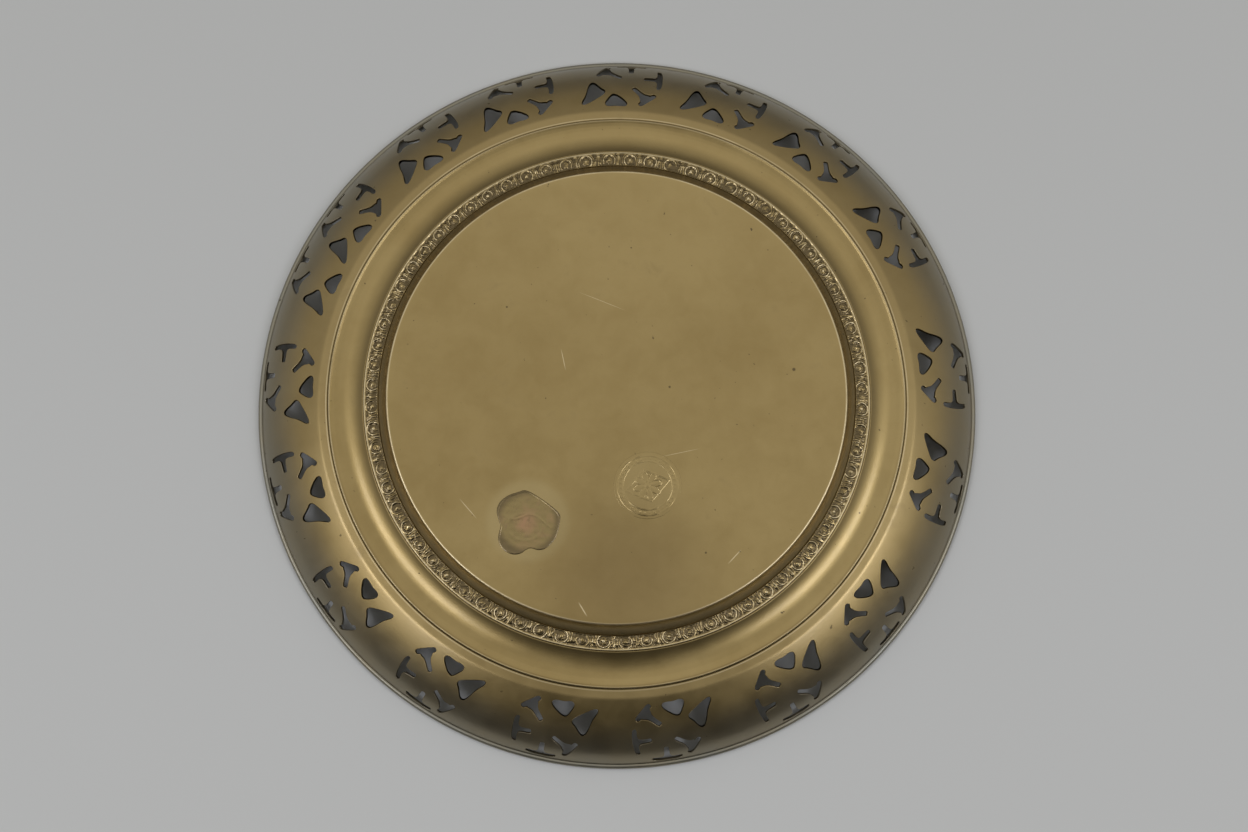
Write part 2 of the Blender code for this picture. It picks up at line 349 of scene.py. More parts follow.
def agedBrass(name, roughness=0.34, tarnish=0.5, cool=0.0, grimeAndShadeRings=(), lines=1.0, spots=1.0,
              hollows=0.0, grainBump=0.05, dull=0.0, rubbedAndGlintRings=(), footMarks=None):
    # tarnish, cool (grey-green film toward the edge), hollows (packed grime) and dull are shares from 0 to 1
    look, finish = brassLook, brassFinish
    material, tree, shader = newMaterial(name, finish["shader"])
    coords = objectCoords(tree)
    radius, height = radiusAt(tree, coords)

    clouds = noise(tree, coords, finish["clouds"], 4.0, 0.6)
    mottle = noise(tree, coords, finish["mottle"], 5.0, 0.62, 0.3)
    grain = noise(tree, coords, finish["grain"], 2.0, 0.6)
    specks = noise(tree, coords, finish["specks"], 2.0, 0.5)

    patchy = math2(tree, "ADD", times(tree, clouds, 0.6), times(tree, mottle, 0.4))
    colour = mixColour(tree, mapRange(tree, patchy, 0.38, 0.62), look["middle"], look["light"])
    stain = mapRange(tree, mottle, 0.66 - 0.16 * tarnish, 0.80, 0.0, 0.55 * tarnish, smooth=True)
    colour = mixColour(tree, stain, colour, look["dark"])
    if cool > 0:
        film = mapRange(tree, radius, finish["filmStart"], finish["filmFull"], 0.06 * cool, cool, smooth=True)
        patches = noise(tree, coords, finish["filmClouds"], 4.0, 0.6)
        film = times(tree, film, mapRange(tree, patches, 0.3, 0.7, 0.7, 1.0))
        colour = mixColour(tree, film, colour, look["cool"])
    spotMask = mapRange(tree, specks, 0.73, 0.79, 0.0, 0.7 * spots, smooth=True)
    colour = mixColour(tree, spotMask, colour, look["grimeAndShade"])
    # painted shade with grime: dark circles in the step under the band, beside it and in the groove at the
    # rim
    colour = paintRings(tree, colour, grimeAndShadeRings, radius, mottle, (0.45, 1.0), look["grimeAndShade"])
    if hollows > 0:
        depth = addNode(tree, "ShaderNodeAttribute", attribute_name="hollow").outputs["Fac"]
        packed = math2(tree, "ADD", depth, times(tree, mottle, 0.5))
        packed = mapRange(tree, packed, 0.55, 1.05, 0.0, hollows)
        colour = mixColour(tree, packed, colour, look["grimeAndShade"])
        # the ornament's raised tops mixed toward the bright colour: a painted highlight, partly rubbed bright
        # by wear
        colour = mixColour(tree, mapRange(tree, depth, 0.0, 0.35, 0.75, 0.0), colour, look["bright"])
    if dull > 0:
        colour = mixColour(tree, dull, colour, look["dark"])
    # painted highlights, partly worn bright: bright circles on rounded edges where they catch the lights
    colour = paintRings(tree, colour, rubbedAndGlintRings, radius, mottle, (1.0, 0.5), look["bright"])
    rubbed = None
    if footMarks:
        unmarked = colour
        # pale and dark patches; the pale patch over the stamped mark is a painted highlight
        for kind in ("pale", "dark"):
            for place, inner, outer, strength in footMarks[kind]:
                patch = times(tree, nearMask(tree, coords, place, inner, outer), strength)
                colour = mixColour(tree, patch, colour, look[kind])
        for place, size in footMarks["specks"]:
            speck = times(tree, nearMask(tree, coords, place, size * 0.4, size), 0.75)
            colour = mixColour(tree, speck, colour, look["grimeAndShade"])
        for place, turn, length, width in footMarks["scratches"]:
            line = scratchMask(tree, coords, place, turn, length, width)
            rubbed = line if rubbed is None else math2(tree, "MAXIMUM", rubbed, line)
        colour = mixColour(tree, times(tree, rubbed, 0.75), colour, look["bright"])
        colour = mixColour(tree, mapRange(tree, height, *footMarks["heights"]), unmarked, colour)
    link(tree, colour, shader.inputs["Base Color"])

    rough = math2(tree, "ADD", times(tree, math2(tree, "SUBTRACT", mottle, 0.5), 0.22), roughness)
    rough = math2(tree, "ADD", rough, times(tree, spotMask, 0.25))
    link(tree, math2(tree, "ADD", rough, times(tree, stain, 0.12), clamp=True), shader.inputs["Roughness"])

    # faint lines left by spinning, which run round the axis, with a fine satin grain over them
    turning = addNode(tree, "ShaderNodeTexNoise", noise_dimensions="1D")
    link(tree, math2(tree, "ADD", radius, times(tree, height, 0.7)), turning.inputs["W"])
    turning.inputs["Scale"].default_value = finish["turning"]
    turning.inputs["Detail"].default_value = 2.0
    relief = math2(tree, "ADD", times(tree, turning.outputs["Fac"], 0.35 * lines), times(tree, grain, 0.9))
    relief = math2(tree, "SUBTRACT", relief, times(tree, spotMask, 0.8))
    addBump(tree, shader, relief, grainBump, finish["bumpDistance"])
    return material


print("plate: helpers ready")

# dish: foot, riser, ledge and lip

dishShape = {
    "steps": 420,
    "footRadius": 79.5, "footEdge": 0.7, "footHollow": 0.32,
    "riserHandles": ((80.15, 25.2), (81.4, 23.75)), "riserEnd": (82.6, 22.58),
    "seat": ((82.2, 21.8), (86.95, 20.62), (87.6, 20.85)),
    "coveInner": (87.85, 21.4), "coveOuter": (95.2, 18.55), "covePower": 1.7,
    "bead": ((97.0, 18.56), (98.2, 18.66), (99.2, 18.92), (100.0, 19.30)), "beadRound": 0.22,
    "ledgeOuter": (100.45, 18.95), "ledgeHeight": 18.4,
    "lipRoot": 16.88, "lipOuter": (102.9, 16.5), "sheet": 1.2,
    "well": ((91.3, 18.2), (88.6, 19.4), (86.9, 19.5), (81.9, 20.75), (79.6, 23.1), (78.6, 25.2),
             (77.4, 26.1)),
    "waviness": 0.02,
}
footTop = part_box("base_dish")[1].z / mm


def footHeight(x, y):
    # the foot is a little hollow, deepest in the middle and level near its rim
    share = np.clip((x * x + y * y) / (dishShape["footRadius"] - 2.0) ** 2, 0, 1)
    return footTop - dishShape["footHollow"] * (1 - share ** 2)


def dishSection():
    # section outward over the foot, down the riser, along the ledge to the lip, and back inside the well
    shape = dishShape
    foot = roundedLine([(0, footTop, 0), (shape["footRadius"], footTop, shape["footEdge"]),
                        (shape["footRadius"] + 0.1, 25.6, 0)], 9)[:-1]
    riser = bezier(foot[-1], *shape["riserHandles"], shape["riserEnd"], 10)[1:]
    coveIn, coveOut = np.array(shape["coveInner"]), np.array(shape["coveOuter"])
    share = np.linspace(0, 1, 16)
    cove = np.stack([coveIn[0] + share * (coveOut[0] - coveIn[0]),
                     coveOut[1] + (coveIn[1] - coveOut[1]) * (1 - share) ** shape["covePower"]], axis=1)
    edge, lip, sheet = shape["ledgeOuter"], shape["lipOuter"], shape["sheet"]
    bead = [(*point, 1.5) for point in shape["bead"][:-1]] + [(*shape["bead"][-1], shape["beadRound"])]
    stepDown = roundedLine([tuple(coveOut)] + bead + [
        (*edge, 0.15), (edge[0], shape["lipRoot"], 0.2), (*lip, 0.15), (lip[0], lip[1] - sheet, 0.15),
        (edge[0] - sheet, shape["lipRoot"] - sheet, 0.2),
        (edge[0] - sheet, shape["ledgeHeight"] - sheet, 0.5), (coveOut[0], coveOut[1] - sheet)], 5)
    well = roundedLine([(coveOut[0], coveOut[1] - sheet)] + [(*point, 0.8) for point in shape["well"]]
                       + [(0, 26.1)], 6)
    line = np.concatenate([foot, riser, np.array(shape["seat"]), cove, stepDown[1:], well[1:]])
    return fillLine(line, 2.2)


def makeDish(material):
    # the section carried round the axis, point = (r cos a, r sin a, z), a little wavy along its normals
    line = dishSection()
    normals = lineNormals(line)
    inner = line[1:-1]
    angles = stepsRound(dishShape["steps"])
    wave = wavesRound(angles, inner[:, :1], 3, 6, 90, 24)
    push = wave * dishShape["waviness"] - dishShape["waviness"] * 2
    radius = inner[:, :1] + normals[1:-1, :1] * push
    height = inner[:, 1:] + normals[1:-1, 1:] * push
    x, y = radius * np.cos(angles), radius * np.sin(angles)
    onFoot = (inner[:, 1] > footTop - 0.01) & (inner[:, 0] < dishShape["footRadius"] - 1.5)
    height[onFoot] += footHeight(x[onFoot], y[onFoot]) - footTop
    points = np.stack([x, y, height], axis=-1).reshape(-1, 3)
    centreTop = [0, 0, footHeight(0.0, 0.0)]
    points = np.concatenate([points, [centreTop, [0, 0, line[-1, 1]]]]) * mm
    return makeMesh("spunDish", points, cappedFaces(len(inner), dishShape["steps"]), material)


footMarks = {
    # the marks fade in between these two heights, so that the sheet's other face has none
    "heights": (0.0264, 0.0267),
    # pale ring where the spilt film has kept the air off, a paler patch over the stamped mark that is a
    # painted highlight where its relief catches the light, a wide darker patch toward the foot's edge at
    # minus y, then dark specks and short bright scratches
    "pale": (((-30.3, -43.6, 27.1), 12.0, 16.0, 0.55), ((10.6, -31.4, 27.1), 8.0, 12.5, 0.2)),
    "dark": (((4.0, -64.0, 27.1), 6.0, 44.0, 0.50),),
    "specks": (((30.4, -54.6, 27.1), 0.5), ((18.2, 2.9, 27.1), 0.6), ((42.0, -54.2, 27.1), 0.4),
               ((61.0, 9.0, 27.1), 0.8), ((-38.0, 31.0, 27.1), 0.5), ((5.0, 52.0, 27.1), 0.4)),
    "scratches": (((-11.5, -74.0), -59.0, 6.0, 0.28), ((40.2, -56.0), 47.0, 7.0, 0.22),
                  ((-50.8, -39.4), -49.0, 9.5, 0.16), ((-18.4, 12.5), -78.0, 8.0, 0.16),
                  ((22.0, -20.0), 12.0, 14.0, 0.09), ((-5.0, 33.0), -22.0, 18.0, 0.08)),
}
dishBrass = agedBrass("spunDishBrass", roughness=0.37, tarnish=0.45, footMarks=footMarks,
                      # painted highlights, partly worn bright: a bright circle on the foot's rounded edge and
                      # one on the bead's edge, where they catch the lights
                      rubbedAndGlintRings=((0.07908, 0.0005, 1.0), (0.1000, 0.0004, 0.5)),
                      # painted shade with grime: a dark circle over the riser below the band and one on the
                      # cove just outside it
                      grimeAndShadeRings=((0.0814, 0.0022, 0.50), (0.0886, 0.0030, 0.35)))
settle(makeDish(dishBrass), "spun_brass", "base_dish")

# stamped mark and spilt film on the foot

markShape = {
    "place": (10.6, -31.4), "turn": 14.0, "radius": 11.6, "high": 0.20, "sunk": 0.02, "deep": 0.4,
    "rings": 96, "steps": 480,
    # distances from its middle, and widths, in millimetres
    "outerRing": (10.3, 0.24), "innerRing": (8.4, 0.20), "beadRing": (9.35, 0.36), "beadPairs": 18,
    "petalPairs": 4, "petalShort": 2.3, "petalLong": 2.5, "lozenge": (7.6, 5.6), "line": 0.24, "boss": 0.9,
}
filmShape = {
    "place": (-30.3, -44.0), "rings": 120, "steps": 480, "sunk": 0.03, "deep": 0.35,
    "reach": 10.5, "thick": 0.02, "edge": 0.11, "edgeIn": 0.4, "edgeWidth": 0.22,
    "fold": 0.07, "pool": 0.05, "ripple": 0.012,
    # outline about its middle, in millimetres: a pointed top, a long straight right side, two lobes below
    "outline": ((-0.8, 11.3), (3.8, 8.6), (8.2, 5.4), (11.2, 2.6), (11.0, 0.2), (10.3, -3.6), (9.4, -6.0),
                (6.4, -9.2), (3.6, -9.9), (1.0, -8.9), (-0.6, -9.6), (-2.6, -11.2), (-5.8, -11.3),
                (-8.8, -9.4), (-10.3, -6.6), (-9.9, -3.6), (-9.2, -1.6), (-10.2, 1.0), (-10.9, 4.2),
                (-9.6, 7.2), (-6.6, 9.4), (-3.4, 10.3)),
}
filmLook = {
    "skin": (0.315, 0.230, 0.088), "centre": (0.43, 0.250, 0.125),
    "edge": (0.185, 0.133, 0.055), "spots": (0.26, 0.175, 0.08),
}


def patchOnFoot(name, shape, outline, relief, material):
    # a closed patch let into the foot: point = middle + share * outline point, raised by the relief there;
    # its edge and its flat back lie below the foot's face, so that only the relief stands out
    share = ((np.arange(shape["rings"]) + 1) / shape["rings"])[:, None]
    u, v = share * outline[:, 0], share * outline[:, 1]
    x, y = shape["place"][0] + u, shape["place"][1] + v
    steps = outline.shape[0]
    top = footHeight(x, y) + relief(u, v, share)
    low = top.min() - shape["deep"]
    zero = np.zeros((1, 1))
    middle = relief(zero, zero, zero)[0, 0]
    centre = footHeight(*(np.array(value) for value in shape["place"]))
    points = np.concatenate([np.stack([x, y, top], axis=-1).reshape(-1, 3),
                             np.stack([x[-1], y[-1], np.full(steps, low)], axis=-1),
                             [[*shape["place"], float(centre) + middle], [*shape["place"], low]]])
    return makeMesh(name, points * mm, cappedFaces(shape["rings"] + 1, steps), material)


def markRelief(x, y, share):
    # two rings with beads between them, round an eight-petalled rosette on a lozenge
    shape = markShape
    turn = math.radians(shape["turn"])
    u, v = x * math.cos(turn) + y * math.sin(turn), y * math.cos(turn) - x * math.sin(turn)
    reach, angle = np.hypot(u, v), np.arctan2(v, u)
    (outer, outerWidth), (inner, innerWidth) = shape["outerRing"], shape["innerRing"]
    beadRadius, beadWidth = shape["beadRing"]
    rings = ridge(reach - outer, outerWidth) + ridge(reach - inner, innerWidth)
    beads = ridge(reach - beadRadius, beadWidth) * ridge(np.sin(angle * shape["beadPairs"]), 0.55)
    lobes = np.abs(np.cos(angle * shape["petalPairs"]))
    petal = shape["petalShort"] + shape["petalLong"] * lobes ** 0.7
    petals = ridge(reach - petal, 0.28) + 0.5 * (reach < petal) * lobes * (reach > 1.3)
    half, tall = shape["lozenge"]
    lozenge = ridge((np.abs(u) / half + np.abs(v) / tall - 1) * 4.4, shape["line"]) * (reach > petal)
    boss = ridge(reach, shape["boss"])
    worn = np.clip(0.62 + 0.38 * smoothWaves(x, y, 31, 5, 14, 4), 0.15, 1)
    height = np.clip(np.maximum.reduce([rings, beads * 0.8, petals, lozenge, boss]), 0, 1.1) * worn
    fade = np.clip((1 - share) / 0.06, 0, 1)
    return height * shape["high"] * fade - shape["sunk"] * (share > 0.985)


def filmRelief(x, y, share):
    # a thin skin with a swollen edge, one fold that runs across it and soft ripples
    shape = filmShape
    fromEdge = (1 - share) * shape["reach"]
    skin = shape["thick"] * np.clip(fromEdge / 0.25, 0, 1) ** 0.5
    bead = shape["edge"] * ridge(fromEdge - shape["edgeIn"], shape["edgeWidth"])
    foldLine = y - 1.2 - 1.6 * np.sin((x + 2.0) * 0.42) + 0.25 * x
    fold = shape["fold"] * ridge(foldLine, 0.42) * np.clip((fromEdge - 2) / 2, 0, 1)
    pool = shape["pool"] * ridge(np.hypot((x + 1.0) / 6.0, (y + 1.8) / 4.6) - 1, 0.12) * (share < 0.9)
    ripples = shape["ripple"] * smoothWaves(x, y, 41, 6, 9, 2)
    return skin + bead + fold + pool + ripples * np.clip(fromEdge, 0, 1) - shape["sunk"] * (share > 0.99)


def filmMaterial():
    # dried varnish over the brass: glossy, olive brown, coppery pink in the middle, darker at its edge
    look = filmLook
    shine = {"Metallic": 0.92, "Coat Weight": 0.45, "Coat Roughness": 0.16}
    material, tree, shader = newMaterial("driedFilm", shine)
    coords = objectCoords(tree)
    cloudy = noise(tree, coords, 240.0, 4.0, 0.6, 0.6)
    centre = math2(tree, "ADD", nearMask(tree, coords, (-31.0, -44.6, 27.1), 0.5, 5.6),
                   times(tree, math2(tree, "SUBTRACT", cloudy, 0.5), 1.6), clamp=True)
    colour = mixColour(tree, centre, look["skin"], look["centre"])
    outer = nearMask(tree, coords, (-30.5, -44.0, 27.1), 8.2, 10.8)
    colour = mixColour(tree, outer, look["edge"], colour)
    spots = mapRange(tree, noise(tree, coords, 620.0, 3.0), 0.55, 0.72, 0.0, 0.5)
    colour = mixColour(tree, spots, colour, look["spots"])
    link(tree, colour, shader.inputs["Base Color"])
    link(tree, mapRange(tree, cloudy, 0.35, 0.65, 0.26, 0.42), shader.inputs["Roughness"])
    addBump(tree, shader, cloudy, 0.25, 0.0003)
    return material


around = stepsRound(markShape["steps"])
markOutline = markShape["radius"] * np.stack([np.cos(around), np.sin(around)], axis=1)
settle(patchOnFoot("stampedMark", markShape, markOutline, markRelief, dishBrass), "spun_brass")
filmOutline = spaceEvenly(roundOutline(filmShape["outline"][::-1], 4), None, filmShape["steps"])
settle(patchOnFoot("driedFilm", filmShape, filmOutline, filmRelief, filmMaterial()), "spun_brass")

# ornamental band

bandShape = {
    "steps": 2880, "across": 28, "cells": 72, "sheet": 0.9,
    "inner": (82.70, 22.66), "outer": (87.72, 21.78), "crown": 0.3,
    "egg": 0.34, "shell": 0.44, "dart": 0.46, "border": 0.34, "ground": 0.32, "worn": 0.07, "highest": 0.40,
    "width": 5.1, "middleRadius": 85.3, "eggAt": 0.42, "eggRise": 3.05, "dartRise": 2.8,
    "shellRing": (1.86, 0.27), "outerRing": (2.50, 0.17), "opening": (2.25, 7.0), "wander": 0.05,
    "waveRadius": 85.0,
    # each dart: place along the cell, slant, width and height
    "darts": ((-0.62, 0.16, 0.20, 0.8), (0.02, 0.0, 0.26, 1.0), (0.66, -0.16, 0.20, 0.75)),
}


def bandRelief(angle, across):
    # height of the ornament: an egg in a shell that opens to the foot, then three darts, with each cell a bit
    # different; across is 0 at the outer edge and 1 at the inner one
    shape = bandShape
    cell = angle / fullTurn * shape["cells"]
    number = np.floor(cell).astype(int) % shape["cells"]
    rng = np.random.default_rng(11)
    drift = rng.normal(0, 1, (6, shape["cells"]))[:, number]
    cellLength = fullTurn * shape["middleRadius"] / shape["cells"]
    width, eggAt = shape["width"], shape["eggAt"]
    size = 1.1 + 0.08 * drift[0]
    along = (cell % 1 - eggAt) * cellLength + 0.22 * drift[1]
    rise = across * width - shape["eggRise"] - 0.12 * drift[2]
    lean = 0.45 * drift[3]

    reach = np.hypot(along / (1.02 * size), rise / (1.25 * size))
    egg = np.clip(1 - reach ** 2, 0, 1) ** 0.5 * shape["egg"]
    egg -= ridge(reach - 0.55 - 0.05 * drift[4], 0.14) * 0.16 * (reach < 1)
    around = np.abs(np.arctan2(along * np.cos(lean) + rise * np.sin(lean),
                               -rise * np.cos(lean) + along * np.sin(lean)))
    openAt, openSharp = shape["opening"]
    opened = 1 / (1 + np.exp((around - openAt) * openSharp))
    ringReach = np.hypot(along / size, rise / (1.03 * size))
    (inner, innerWidth), (outer, outerWidth) = shape["shellRing"], shape["outerRing"]
    shell = ridge(ringReach - inner, innerWidth) * shape["shell"] * opened
    second = ridge(ringReach - outer, outerWidth) * 0.6 * shape["shell"] * opened * (around < 1.9)
    shell = np.maximum(shell, second)
    past = (cell % 1 + (cell % 1 < eggAt) - eggAt - 0.5) * cellLength + 0.2 * drift[5]
    middle = across * width - shape["dartRise"]
    bars = [ridge(past - place + tilt * middle, wide) * tall for place, tilt, wide, tall in shape["darts"]]
    dart = np.maximum.reduce(bars) * shape["dart"] * (0.75 + 0.25 * np.cos(middle * 1.6 + drift[1]))
    ornament = np.maximum.reduce([egg, shell, dart])
    ornament *= 1 + 0.10 * np.sin(number * 2.4) + 0.06 * drift[2]
    reach = shape["waveRadius"] + (0.5 - across) * width
    ornament += shape["worn"] * wavesRound(angle, reach, 51, 12, 3.2, 1.0)
    field = np.clip((across - 0.13) / 0.05, 0, 1) * np.clip((0.985 - across) / 0.05, 0, 1)
    border = ridge((across - 0.055) * width, 0.17) * shape["border"]
    return ornament * field + border - shape["ground"] * field


def makeBand(material):
    # a crowned strip between two circles, raised along its own normal by the ornament
    shape = bandShape
    start, end = np.array(shape["inner"]), np.array(shape["outer"])
    run = np.linalg.norm(end - start)
    out = np.array([start[1] - end[1], end[0] - start[0]]) / run
    share = np.linspace(0, 1, shape["across"] + 1)
    angles = stepsRound(shape["steps"])
    relief = np.minimum(bandRelief(angles[None, :], 1 - share[:, None]), shape["highest"])
    wander = shape["wander"] * wavesRound(angles, shape["waveRadius"], 5, 4, 120, 30)
    lift = shape["crown"] * np.sin(math.pi * share)[:, None] + relief
    lift = lift + wander * (share * (1 - share) * 4)[:, None]
    section = start + share[:, None] * (end - start)
    back = np.array([end - out * shape["sheet"], start - out * shape["sheet"]])
    radius = np.concatenate([section[:, :1] + out[0] * lift, np.repeat(back[:, :1], len(angles), axis=1)])
    height = np.concatenate([section[:, 1:] + out[1] * lift, np.repeat(back[:, 1:], len(angles), axis=1)])
    points = revolve(radius, angles, height)
    band = makeMesh("ornamentalBand", points * mm, [wrapFaces(len(radius), len(angles), True)], material)
    hollow = band.data.attributes.new("hollow", "FLOAT", "POINT")
    depth = np.clip((0.10 - relief) / 0.36, 0, 1)
    depth[0] = 0.6
    depth = np.concatenate([depth.ravel(), np.ones(2 * len(angles))])
    hollow.data.foreach_set("value", depth.astype(np.float32))
    return band


bandBrass = agedBrass("reliefBrass", roughness=0.28, tarnish=0.5, lines=0.0, spots=0.4, hollows=0.75,
                      grainBump=0.08)
settle(makeBand(bandBrass), "relief_brass", "embossed_band")

# pierced rim

rimShape = {
    "sheet": 1.0, "columns": 480,
    "flangeInner": (100.56, 18.42), "innerRound": 0.15,
    "shoulder": (103.8, 17.9), "wallEnd": (125.4, 2.55),
    "startSlope": 22.0, "endSlope": 68.0, "startPull": 10.0, "endPull": 7.0,
    "shoulderRadius": 5.0,
    "seamAngle": 19.0,              # degrees: a plain stretch where the sheet's ends meet
    "firstMedallion": 7.1,          # degrees to the first heart, then the hand-spaced steps to the next ones
    "medallionSteps": (25.7, 19.8, 18.9, 18.5, 19.1, 18.0, 19.1, 10.7, 20.5, 19.0, 21.4, 20.9, 21.4, 20.4,
                       21.9, 19.9, 24.8),
    "crowded": 8,                   # this medallion had no room for its two left-hand punches
    "edgeRound": 0.16, "cornerPasses": 3, "clearance": 0.5,
    "unroll": 112.0,                # radius at which the sheet is laid flat for cutting
    # rows of points from the flange's inner edge, near the shoulder and down the wall
    "edgeRows": (0.36, 5), "shoulderRows": (-2.2, -1.3, -0.7, -0.35, -0.12, 0.12, 0.35, 0.7, 1.2),
    "wallRows": (2.0, 0.5, 22), "squareTo": 1.2,
}

# punch outlines, as (down the wall, counter-clockwise) in millimetres
heartOutline = ((3.2, 0.9), (2.9, 1.7), (-0.2, 3.7), (-1.9, 3.9), (-2.6, 2.6), (-2.2, 0.2), (-2.6, -2.2),
                (-2.2, -3.8), (-0.6, -3.8), (2.6, -0.6))
leafOutline = ((5.3, -0.9), (5.2, 0.6), (2.6, 1.7), (-0.8, 2.6), (-4.2, 4.6), (-5.3, 4.0), (-4.2, 1.4),
               (-2.2, -1.8), (-0.6, -4.0), (0.9, -4.3), (2.0, -2.9))


def teeOutline(barLength, barWidth, stemLength, stemWidth, flare, droop):
    # a bar across the origin whose ends droop, with a stem down the wall that widens where it meets the bar
    bar, half, stem = barLength / 2, barWidth / 2, stemWidth / 2
    reach = half + stemLength
    side = [(-half, 0.0), (-half + droop * 0.3, bar * 0.6), (droop - half * 0.8, bar),
            (droop + half * 0.9, bar), (half + droop * 0.3, bar * 0.55),
            (half + flare * 0.4, stem + flare), (half + flare * 1.6, stem * 1.1),
            (reach - 0.5, stem), (reach, stem * 0.8)]
    return tuple(side) + tuple((down, -across) for down, across in side[:0:-1])


longTee = teeOutline(10.6, 1.7, 5.0, 1.7, 0.7, 0.5)
shortTee = teeOutline(7.6, 1.9, 6.8, 1.7, 1.3, 0.0)

# each punch: outline, distance down the wall, offset counter-clockwise, turn in degrees, left out if crowded
punches = (
    (heartOutline, 4.95, 0.0, 0.0, False),
    (leafOutline, 9.0, 8.5, 0.0, False),
    (longTee, 25.55, -5.2, 180.0, False),
    (longTee, 16.8, -15.5, 94.0, True),
    (shortTee, 21.3, 4.9, -125.0, False),
    (shortTee, 5.7, -10.9, 46.0, True),
)


def rimSection():
    # rounded inner edge, flange, rounded shoulder and the wall's cubic curve, as (radius, height) points
    shape = rimShape
    startAngle, endAngle = math.radians(shape["startSlope"]), math.radians(shape["endSlope"])
    inner, shoulder, end = (np.array(shape[name]) for name in ("flangeInner", "shoulder", "wallEnd"))
    leave = shape["startPull"] * np.array([math.cos(startAngle), -math.sin(startAngle)])
    arrive = shape["endPull"] * np.array([math.cos(endAngle), -math.sin(endAngle)])
    wall = bezier(shoulder, shoulder + leave, end - arrive, end, 160)
    edge = roundCorner(inner - (0, 0.4), inner, shoulder, shape["innerRound"], 6)
    corner = roundCorner(inner, shoulder, wall[12], shape["shoulderRadius"], 9)
    after = wall[wall[:, 0] > corner[-1, 0] + 0.05]
    return np.concatenate([edge, corner, after])


rimLine = rimSection()
rimRuns = np.concatenate([[0], np.cumsum(np.linalg.norm(np.diff(rimLine, axis=0), axis=1))])
rimNormals = lineNormals(rimLine)
shoulderRun = float(np.interp(rimShape["shoulder"][0], rimLine[:, 0], rimRuns))
lastRun = float(rimRuns[-1]) - shoulderRun
# the sheet's thickness is laid off square to the flange, ignoring its rounded inner edge
depthWay = np.where(rimRuns[:, None] < shoulderRun - rimShape["squareTo"], rimNormals[9], rimNormals)


def alongRim(table, down):
    # both columns of a table that goes with the section, read off at distances down the wall
    return [np.interp(down + shoulderRun, rimRuns, table[:, column]) for column in (0, 1)]


def growLoop(loop, distance):
    # every point moved outward, square to the outline
    along = np.roll(loop, -1, axis=0) - np.roll(loop, 1, axis=0)
    along /= np.linalg.norm(along, axis=1)[:, None]
    area = np.sum(loop[:, 0] * np.roll(loop[:, 1], -1) - np.roll(loop[:, 0], -1) * loop[:, 1])
    side = 1.0 if area > 0 else -1.0
    return loop + side * distance * np.stack([along[:, 1], -along[:, 0]], axis=1)


def holeLoops():
    # outlines about each punch's own centre line, with that line's angle and the hand work's small errors
    rng = np.random.default_rng(7)
    azimuths = np.radians(np.cumsum((rimShape["firstMedallion"],) + rimShape["medallionSteps"]))
    loops = []
    for number, azimuth in enumerate(azimuths):
        for outline, down, across, turn, needsRoom in punches:
            slip = rng.normal(0, 1, 3)
            if needsRoom and number == rimShape["crowded"]:
                continue
            loop = spaceEvenly(roundOutline(outline, rimShape["cornerPasses"]), 0.42)
            angle = math.radians(turn + 2.5 * slip[0])
            cosine, sine = math.cos(angle), math.sin(angle)
            turned = loop @ np.array([[cosine, sine], [-sine, cosine]])
            turned[:, 0] += down + (0.0 if down > 24 else 0.12 * slip[1])
            centre = azimuth + (across + 0.2 * slip[2]) / alongRim(rimLine, down)[0]
            loops.append((turned, centre))
    return loops


def toSheet(loop, centre):
    # millimetres about the punch's centre line turned into angle and distance down the wall
    return np.stack([centre + loop[:, 1] / alongRim(rimLine, loop[:, 0])[0], loop[:, 0]], axis=1)


def insideLoop(points, loop):
    # crossings of a ray from each point with the outline's sides
    x, y = points[:, :1], points[:, 1:]
    x1, y1 = loop[:, 0], loop[:, 1]
    x2, y2 = np.roll(x1, -1), np.roll(y1, -1)
    crosses = ((y1 > y) != (y2 > y)) & (x < (x2 - x1) * (y - y1) / (y2 - y1 + 1e-15) + x1)
    return crosses.sum(axis=1) % 2 == 1


def rimPoint(angle, down, depth):
    # a point on the rim: section at that distance, pushed in by the depth, turned to the angle
    (radius, height), (out, up) = alongRim(rimLine, down), alongRim(depthWay, down)
    return revolve(radius - out * depth, angle, height - up * depth)


def rimNormal(angle, down):
    out, up = alongRim(rimNormals, down)
    return revolve(out, angle, up)


def cutSheet(gridPoints, rings):
    # flat constrained triangulation of the grid's points and the outlines, with the holes' triangles dropped
    flat = np.concatenate([gridPoints] + rings)
    starts = len(gridPoints) + np.cumsum([0] + [len(ring) for ring in rings])
    sides = [np.stack([start + np.arange(len(ring)), start + np.roll(np.arange(len(ring)), -1)], axis=1)
             for ring, start in zip(rings, starts)]
    cut = delaunay_2d_cdt([Vector(point) for point in flat.tolist()], np.concatenate(sides).tolist(),
                          [], 0, 1e-7)
    flatOut = np.array([(point[0], point[1]) for point in cut[0]])
    triangles = np.array(cut[2])
    places = np.zeros(len(flat), int)
    counts = [len(origins) for origins in cut[3]]
    merged = np.concatenate([np.array(origins, int) for origins in cut[3]])
    places[merged] = np.repeat(np.arange(len(counts)), counts)
    centres = flatOut[triangles].mean(axis=1)
    solid = np.ones(len(triangles), bool)
    for ring in rings:
        low, high = ring.min(axis=0), ring.max(axis=0)
        near = np.flatnonzero(np.all((centres > low) & (centres < high), axis=1))
        solid[near[insideLoop(centres[near], ring)]] = False
    triangles = triangles[solid]
    a, b, c = (flatOut[triangles[:, corner]] for corner in range(3))
    turnedOver = (b[:, 0] - a[:, 0]) * (c[:, 1] - a[:, 1]) - (b[:, 1] - a[:, 1]) * (c[:, 0] - a[:, 0]) > 0
    triangles[turnedOver] = triangles[turnedOver][:, ::-1]
    outlines = [places[start:start + len(ring)] for ring, start in zip(rings, starts)]
    return flatOut, triangles, outlines


